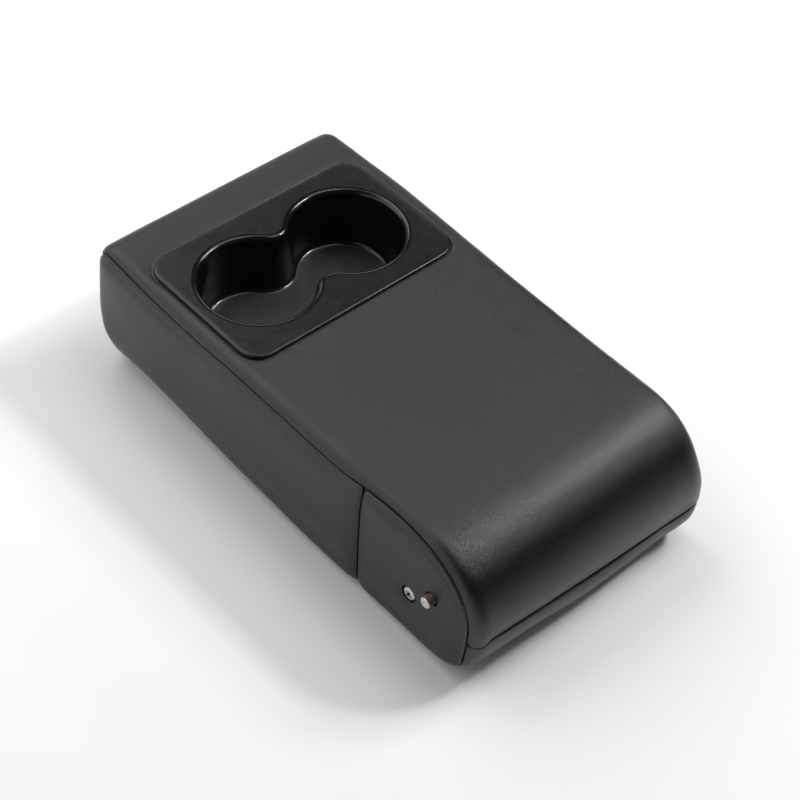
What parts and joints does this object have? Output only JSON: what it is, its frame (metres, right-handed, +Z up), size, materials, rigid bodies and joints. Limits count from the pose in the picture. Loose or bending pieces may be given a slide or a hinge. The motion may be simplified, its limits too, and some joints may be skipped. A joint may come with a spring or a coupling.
{
  "type": "car armrest",
  "caption": "Leather-covered fold-down rear-seat armrest with a two-cup holder set in its top, turning about a steel pivot shaft at its rounded end.",
  "frame": {"origin": "middle of the flat underside, on the floor plane", "axes": "+X to the armrest's right, +Y towards the cup-holder end, +Z up with the armrest lowered"},
  "size_m": [0.22, 0.384, 0.103],
  "materials": {
    "leather": "satin",
    "black_plastic": "satin",
    "grey_plastic": "matte",
    "strip_plastic": "matte",
    "nylon": "satin",
    "foam": "matte",
    "frame_steel": "satin",
    "rusty_steel": "satin",
    "spring_steel": "satin",
    "zinc_steel": "satin"
  },
  "bodies": {
    "pivot": {"pivot_shaft": "rusty_steel", "left_retaining_ring": "spring_steel", "right_retaining_ring": "spring_steel"},
    "armrest": {"pivot_tube": "frame_steel", "left_bush": "nylon", "right_bush": "nylon", "left_side_plate": "frame_steel", "right_side_plate": "frame_steel", "left_lug_plate": "frame_steel", "right_lug_plate": "frame_steel", "left_side_screw": "zinc_steel", "right_side_screw": "zinc_steel", "left_nut": "zinc_steel", "right_nut": "zinc_steel", "left_rivet": "zinc_steel", "right_rivet": "zinc_steel", "frame_loop": "frame_steel", "front_strap": "frame_steel", "rear_strap": "frame_steel", "carrier_frame": "grey_plastic", "carrier_screws": "zinc_steel", "cup_holder_insert": "black_plastic", "upper_foam_pad": "foam", "lower_foam_pad": "foam", "top_cover": "leather", "left_front_side_cover": "leather", "left_rear_side_cover": "leather", "right_front_side_cover": "leather", "right_rear_side_cover": "leather", "bottom_cover": "leather", "front_hook_strip": "strip_plastic", "bottom_hook_strip": "strip_plastic"}
  },
  "joints": [
    {"name": "armrest_fold", "type": "hinge", "parent": "pivot", "child": "armrest", "pos_m": [0, -0.151, 0.057], "axis": [1, 0, 0], "range_deg": [0, 110]}
  ]
}
